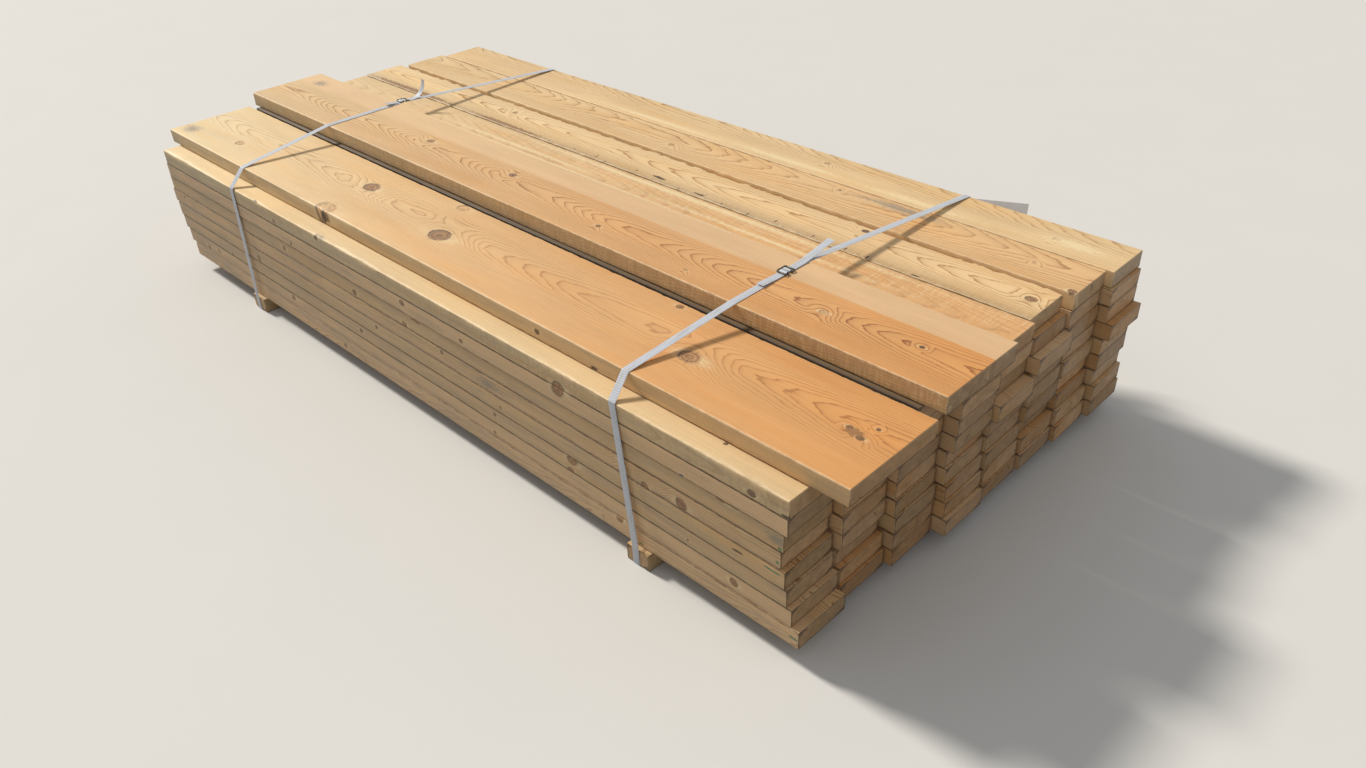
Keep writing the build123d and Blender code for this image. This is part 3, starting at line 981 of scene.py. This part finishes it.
def ninth_layer_looks():
    """The studs of the ninth layer, from left to right: two under the top plank, then four that show."""
    hidden = [random_look(), random_look()]
    # Painted shade: the first hidden stud is darkened at its left edge, where its strip shows in the shaded
    # joint between the wide plank and the top plank.
    hidden[0].light = (0.15, 0.6, 1.0)
    rough = Look(
        warmth=0.7, far_glare_warmth=0.15, light=(1.1, 1.0, 1.0, 1.0), far_glare_light=1.06, grey=(0.2, 0.1, 0.0),
        pith=(60, -160), saw=(0.15, 0.5, 1.0, 1.0), side_saw=0.5, end_light=0.95, contrast=0.35,
        knots=knots_on("top", (1078, 12, 6, 0.95)),
        marks=marks_on("top", (PALE, 700, 78, 420, 10), (PALE, 1700, 76, 420, 9), (PALE, 1000, 132, 900, 12)),
        fine=True)
    ticks = [(SHADED_HOLE, 430 + 92 * k + rng.uniform(-30, 30), rng.uniform(4, 20), 2.5, rng.uniform(5, 10))
             for k in range(22)]
    barked = Look(
        warmth=0.3, far_glare_warmth=0.1, light=(0.72, 0.98, 1.12, 1.12, 1.12, 1.12, 1.12), far_glare_light=1.05,
        pith=(86, -34), taper=-0.03, saw=(0.9, 0.5, 0.12, 0.12, 0.12, 0.12), side_saw=0.4, contrast=0.9,
        knots=knots_on("top", (42, 81, 12, 0.45), (523, 122, 8, 1.0), (1900, 96, 8, 0.25)),
        marks=marks_on("top", *ticks, (SHADED_HOLE, 1164, 24, 30, 7), (SHADED_HOLE, 997, 14, 22, 5), (SHADED_HOLE, 300, 6, 14, 3),
                       (BARK, 2350, 12, 270, 14), (BARK, 1840, 10, 210, 11)),
        wane=(8, 20), fine=True)
    # Painted light: the left side is made lighter, side_light 1.35, to make up for the shade of the narrow
    # gap beside the barked stud, where it shows.
    spotted = Look(
        warmth=0.5, far_glare_warmth=0.15, light=1.06, side_light=1.35, side_warmth=0.5, pith=(110, -140),
        taper=0.03, saw=0.3, side_saw=0.4, contrast=0.8,
        knots=knots_on("top", (12, 8, 9, 0.6), (145, 81, 5, 0.1), (745, 118, 5, 0.5), (1330, 60, 9, 0.15)),
        marks=marks_on("top", (SMEAR, 560, 120, 150, 22)), fine=True)
    banded = Look(
        warmth=0.22, light=(1.13, 1.11, 1.05, 1.03), grey=(0.0, 0.0, 0.18, 0.22), pith=(150, -120),
        taper=-0.04, saw=0.15, side_saw=0.4, end_light=1.25, end_grey=0.55, contrast=0.7,
        knots=knots_on("top", (180, 70, 9, 0.1), (900, 90, 8, 0.15)),
        marks=marks_on("top", (PALE, 1500, 26, 320, 13), (PALE, 1000, 34, 260, 16), (PALE, 560, 30, 220, 15),
                       (PALE, 130, 66, 90, 26)), fine=True)
    return hidden + [rough, barked, spotted, banded]


def make_boards():
    """Every stud and both planks, each in place of its solid."""
    ninth_layer = ninth_layer_looks()
    layer_count = sum(name.startswith("stud_layer_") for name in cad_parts)
    for layer in range(1, layer_count + 1):
        node = f"stud_layer_{layer}"
        boxes = boards_of(node)
        for number, (low, high) in enumerate(boxes, start=1):
            on_edge = number in (1, len(boxes))
            look, step = random_look(), coarse_step if on_edge or layer == 1 else hidden_step
            if number == 1 and layer < layer_count:
                look, step = first_column_look(layer), side_step
            if number == 1 and layer == layer_count - 1:
                look, step = edge_stud_look(), fine_step
            if layer == layer_count:
                look = ninth_layer[number - 1]
                step = fine_step if look.fine else coarse_step
            piece = make_board(f"stud_{layer}_{number}", low, high, look, step)
            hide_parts(node)
    for node, look in (("wide_plank", wide_plank_look()), ("top_plank", top_plank_look())):
        piece = make_board(node + "_board", *map(np.array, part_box(node)), look, fine_step)
        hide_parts(node)


def make_bearers():
    for node, stray in (("near_bearer", near_strays[0]), ("far_bearer", far_strays[0])):
        low, high = map(np.array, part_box(node))
        look = Look(warmth=0.22, light=0.8, grey=0.3, pith=(20, -40), saw=0.9, side_saw=0.9,
                    knots=knots_on("left", (300, 20, 8, 0.6)) + knots_on("right", (700, 24, 9, 0.5)))
        groove = (high[0] - low[0]) / 2 - stray * MM
        piece = make_board(node + "_batten", low, high, look, coarse_step, turned=True, groove=groove)
        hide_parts(node)


# Straps

class Corner:
    """A corner of a strap's middle line, with the radius of its bend."""

    def __init__(self, x, y, z, radius):
        self.place = np.array([x, y, z])
        self.radius = radius


def bend_points(corners, step):
    """Points along straight runs and round bends, all in planes across the bundle."""
    points = [corners[0].place]
    for before, corner, after in zip(corners, corners[1:], corners[2:]):
        way_in = unit(corner.place[1:] - before.place[1:])
        way_out = unit(after.place[1:] - corner.place[1:])
        turn = atan2(way_in[0] * way_out[1] - way_in[1] * way_out[0], way_in @ way_out)
        reach = corner.radius * abs(tan(turn / 2))
        start = corner.place[1:] - reach * way_in
        side = np.sign(turn)
        centre = start + side * corner.radius * np.array([-way_in[1], way_in[0]])
        points += run_points(points[-1], np.array([corner.place[0], *start]), step)
        count = max(2, ceil(abs(turn) * corner.radius / bend_step))
        y, z = start - centre
        for part in range(1, count + 1):
            angle = turn * part / count
            turned = np.array([y * cos(angle) - z * sin(angle), y * sin(angle) + z * cos(angle)])
            points.append(np.array([corner.place[0], *(centre + turned)]))
    points += run_points(points[-1], corners[-1].place, step)
    return np.array(points)


def run_points(start, end, step):
    count = max(1, round(np.linalg.norm(end - start) / step))
    return [start + (end - start) * part / count for part in range(1, count + 1)]


def band_axes(points, tip_twist):
    """The distance along a band at each point, the way across it there and the way off its face."""
    steps = np.linalg.norm(np.diff(points, axis=0), axis=1)
    along = np.concatenate(([0.0], np.cumsum(steps)))
    ways = unit(np.gradient(points, along, axis=0))
    wide = unit(np.array([1.0, 0.0, 0.0]) - ways * ways[:, :1])
    normal = np.cross(ways, wide)
    angle = tip_twist * np.clip((along - along[-1]) / twist_length + 1, 0, 1)[:, None]
    turned_wide = wide * np.cos(angle) + normal * np.sin(angle)
    turned_normal = normal * np.cos(angle) - wide * np.sin(angle)
    return along, turned_wide, turned_normal


def band_quads(count, around):
    """The quads between the rings of points along a band, and over its two ends."""
    i, j = np.meshgrid(np.arange(count - 1), np.arange(around), indexing="ij")
    here = i * around
    beyond = here + around
    j_next = (j + 1) % around
    quads = np.stack([here + j, here + j_next, beyond + j_next, beyond + j], axis=-1)
    quads = quads.reshape(-1, 4)[:, ::-1]
    caps = []
    for base, flip in ((0, False), ((count - 1) * around, True)):
        for k in range(around // 2 - 1):
            cap = [base + k, base + k + 1, base + around - 2 - k, base + around - 1 - k]
            caps.append(cap[::-1] if flip else cap)
    return np.concatenate([quads, np.array(caps)])


def ribbon(name, points, tip_twist):
    """A strap along points, with ribs across it, slightly uneven edges and its last tip twisted."""
    steps = np.linalg.norm(np.diff(points, axis=0), axis=1)
    points = points[np.concatenate(([True], steps > 1e-6))]
    along, wide, normal = band_axes(points, tip_twist)
    across = np.array(band_places) * strap_width / 2
    profile = strap_thickness / 2 * (1 - edge_thinning * np.abs(band_places) ** 10)
    ripples = np.sin(along / edge_waves[0]) + np.sin(along / edge_waves[1] + 1.0)
    edge = 1 + edge_wear * ripples[:, None]
    ribs = rib_height * np.sin(along * 2 * pi / rib_pitch)[:, None]
    sides = []
    weaves = []
    for face in (1, -1):
        order = across if face == 1 else across[::-1]
        height = profile if face == 1 else -profile[::-1]
        lift = height[None, :] + face * ribs * (np.abs(order) < strap_width * rib_width_share)[None, :]
        place = points[:, None, :] + wide[:, None, :] * (order[None, :] * edge)[..., None]
        sides.append(place + normal[:, None, :] * lift[..., None])
        weave = np.broadcast_arrays(along[:, None] / MM, order[None, :] / MM, face * 1.0)
        weaves.append(np.stack(weave, axis=2))
    ring = np.concatenate(sides, axis=1)
    weave = np.concatenate(weaves, axis=1).reshape(-1, 3)
    return make_object(name, ring.reshape(-1, 3), band_quads(*ring.shape[:2]), [STRAP],
                       points={"weave": weave}, sharp=70)


def buckle_axes(y, plank_right, plank_top, edge_right, edge_top):
    """Where the buckle lies on the strap's run: a point, the way along it, and the way off the wood."""
    if y < plank_right:
        return np.array([y, plank_top]), np.array([1.0, 0.0]), np.array([0.0, 1.0])
    slope = atan2(edge_top - plank_top, edge_right - plank_right)
    height = plank_top + (y - plank_right) * tan(slope)
    return np.array([y, height]), np.array([cos(slope), sin(slope)]), np.array([-sin(slope), cos(slope)])


# The free end of a strap, in millimetres. It reaches this far past the buckle, and its tip is lifted and may
# turn aside. It lies straight over a share of its reach, and the bend behind that has its own radius.
Tail = namedtuple("Tail", "reach lift straight_share bend aside")
near_short_tail = Tail(reach=72, lift=3, straight_share=0.3, bend=60, aside=0)
near_long_tail = Tail(reach=145, lift=20, straight_share=0.3, bend=60, aside=4)
far_short_tail = Tail(reach=45, lift=3, straight_share=0.3, bend=60, aside=0)
far_long_tail = Tail(reach=63.5, lift=55, straight_share=1.03, bend=50, aside=0)


def fold_corners(x, axes, side, tail):
    """One end of a strap, from the tip of its tail, round its prong and back under the buckle."""
    origin, along_way, off_way = axes
    low = strap_clearance + strap_thickness / 2
    high = low + strap_thickness + strap_clearance
    fold = wire_radius + strap_clearance + strap_thickness / 2
    bars = buckle_half_length - 2 * wire_radius - strap_thickness
    reach = tail.reach * MM
    points = [
        (buckle_half_length + reach, high + tail.lift * MM, 0.0, tail.aside * MM),
        (buckle_half_length + reach * tail.straight_share, high, tail.bend * MM, 0.0),
        (bars, high, strap_bend, 0.0),
        (prong_offset + fold, low + 2 * fold, strap_bend, 0.0),
        (prong_offset - fold, low + 2 * fold, fold, 0.0),
        (prong_offset - fold, low, fold, 0.0),
    ]
    corners = []
    for along, height, bend, shift in points:
        y, z = origin + along_way * side * along + off_way * height
        corners.append(Corner(x + shift, y, z, bend))
    return corners


def make_strap(name, bearer, strays, buckle_stray, buckle_y, tails, right_gap=0.0, tip_twist=0):
    """A strap round the bundle and its bearer, folded through its buckle at both ends."""
    low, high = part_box(bearer)
    middle = (low[0] + high[0]) / 2
    bearer_x, stud_x, wide_x, top_x, right_x = [middle + stray * MM for stray in strays]
    off = strap_clearance + strap_thickness / 2
    first_stud = boards_of("stud_layer_8")[0]
    stud_left, stack_top = first_stud[0][1], first_stud[1][2]
    (_, wide_left, _), (_, _, ninth_top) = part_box("wide_plank")
    (_, plank_left, _), (_, plank_right, plank_top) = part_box("top_plank")
    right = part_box("stud_layer_9")[1][1]
    left_part = [
        Corner(top_x, plank_left - off, plank_top + off, strap_bend),
        Corner(wide_x, wide_left - off, ninth_top + off, strap_bend),
        Corner(stud_x, stud_left - off, stack_top + off, strap_bend),
        Corner(bearer_x, low[1] - off, high[2], strap_bend),
        Corner(bearer_x, low[1] - off, off, bearer_bend),
    ]
    right_part = [
        Corner(bearer_x, high[1] + off, off, bearer_bend),
        Corner(bearer_x, high[1] + off, high[2], strap_bend),
        Corner(right_x, right + right_gap + off, ninth_top + off, strap_bend),
    ]
    top_right = Corner(top_x, plank_right + off, plank_top + off, strap_bend)
    if buckle_y < plank_right:
        right_part.append(top_right)
    else:
        left_part.insert(0, top_right)
    axes = buckle_axes(buckle_y, plank_right, plank_top, right, ninth_top)
    buckle_x = middle + buckle_stray * MM
    short_tail, long_tail = tails
    route = (fold_corners(buckle_x, axes, -1, short_tail) + left_part + right_part
             + fold_corners(buckle_x, axes, 1, long_tail)[::-1])
    piece = ribbon(name + "_band", bend_points(route, strap_step), radians(tip_twist))
    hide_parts(name)


def make_straps():
    (_, plank_left, _), (_, plank_right, _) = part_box("top_plank")
    near_buckle_y = plank_left + near_buckle_place * MM
    far_buckle_y = plank_right + far_buckle_place * MM
    make_strap("near_strap", "near_bearer", near_strays, near_buckle_stray, near_buckle_y,
               (near_short_tail, near_long_tail), right_gap=label_room)
    make_strap("far_strap", "far_bearer", far_strays, far_buckle_stray, far_buckle_y,
               (far_short_tail, far_long_tail), tip_twist=-6)


def make_buckles():
    for node in ("near_buckle", "far_buckle"):
        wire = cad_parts[node]
        wire.data.materials.clear()
        wire.data.materials.append(WIRE)


def label_line(low, high, strap_x):
    """The card seen from above: flat under the strap, with both ends standing off the side."""
    face = low[1] + label_off_wood
    bends = [
        (low[0], face + (strap_x - label_tab - low[0]) * tan(radians(label_back_angle))),
        (strap_x - label_tab, face),
        (strap_x + label_tab, face),
        (high[0], face + (high[0] - strap_x - label_tab) * tan(radians(label_out_angle))),
    ]
    line = []
    for (x0, y0), (x1, y1) in zip(bends, bends[1:]):
        count = max(2, round(hypot(x1 - x0, y1 - y0) / label_step))
        line += [(x0 + (x1 - x0) * k / count, y0 + (y1 - y0) * k / count) for k in range(count)]
    line.append(bends[-1])
    line = np.array(line)
    for _ in range(3):
        line[1:-1] = (line[:-2] + line[1:-1] * 2 + line[2:]) / 4
    return line


def sheet_quads(count, rows):
    """The quads of two sheets of points, one behind the other, joined round their rim."""
    back = count * rows
    front = [[i * rows + j, (i + 1) * rows + j, (i + 1) * rows + j + 1, i * rows + j + 1]
             for i in range(count - 1) for j in range(rows - 1)]
    quads = [quad[::-1] for quad in front]
    quads += [[place + back for place in quad] for quad in front]
    rim = [i * rows for i in range(count)]
    rim += [(count - 1) * rows + j for j in range(1, rows)]
    rim += [i * rows + rows - 1 for i in range(count - 2, -1, -1)]
    rim += range(rows - 2, 0, -1)
    for a, b in zip(rim, rim[1:] + rim[:1]):
        quads.append([a, b, b + back, a + back])
    return quads


def make_label():
    """A thin plastic card held by its middle, with its outer end curled."""
    low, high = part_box("label")
    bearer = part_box("near_bearer")
    strap_x = (bearer[0][0] + bearer[1][0]) / 2 + near_strays[-1] * MM
    line = label_line(low, high, strap_x)
    normal = unit(np.gradient(line, axis=0)[:, ::-1] * (-1, 1))
    heights = np.linspace(low[2], high[2], label_rows)[None, :]
    free = np.clip((line[:, 0] - strap_x - label_curl_start) / label_curl_length, 0, 1)[:, None]
    curl = label_curl * np.sin((heights - low[2]) / (high[2] - low[2]) * pi)
    sheets = []
    for offset in (label_half_thickness, -label_half_thickness):
        face = line + normal * offset
        sheets.append(np.stack(np.broadcast_arrays(face[:, :1], face[:, 1:] - free * curl, heights), axis=-1))
    places = np.concatenate(sheets).reshape(-1, 3)
    weave = places[:, [0, 2, 1]] / MM * (1, 1, 0)
    piece = make_object("label_card", places, sheet_quads(len(line), label_rows), [LABEL],
                        points={"weave": weave}, sharp=50)
    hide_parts("label")


# Stage

def make_floor():
    bpy.ops.mesh.primitive_plane_add(size=60.0, location=(0, 0, 0))
    floor = bpy.context.object
    floor.name = "floor"
    floor.data.materials.append(floor_paint())


def make_light():
    lamp = bpy.data.lights.new("key_light", "SUN")
    lamp.energy = sun_strength
    lamp.angle = radians(sun_spread)
    lamp.color = sun_colour
    key = bpy.data.objects.new("key_light", lamp)
    key.rotation_euler = Vector(sun_direction).to_track_quat("Z", "Y").to_euler()
    bpy.context.scene.collection.objects.link(key)
    world = bpy.data.worlds.new("sky")
    bpy.context.scene.world = world
    world.use_nodes = True
    background = world.node_tree.nodes["Background"]
    background.inputs[0].default_value = (*sky_colour, 1.0)
    background.inputs[1].default_value = sky_strength


def make_camera():
    data = bpy.data.cameras.new("camera")
    data.sensor_width = sensor_width
    data.lens = focal_length_px / photo_width * sensor_width
    camera = bpy.data.objects.new("camera", data)
    turn = (Matrix.Rotation(camera_yaw, 4, "Z") @ Matrix.Rotation(camera_pitch, 4, "X")
            @ Matrix.Rotation(camera_roll, 4, "Y"))
    camera.matrix_world = Matrix.Translation(camera_place) @ turn
    bpy.context.scene.collection.objects.link(camera)
    bpy.context.scene.camera = camera


bpy.context.scene.view_settings.view_transform = "Standard"
WOOD = [pine("pine_face", False), pine("pine_end", True)]
STRAP = webbing()
WIRE = wire_steel()
LABEL = label_plastic()
make_camera()
make_light()
make_floor()
make_boards()
make_bearers()
make_straps()
make_buckles()
make_label()
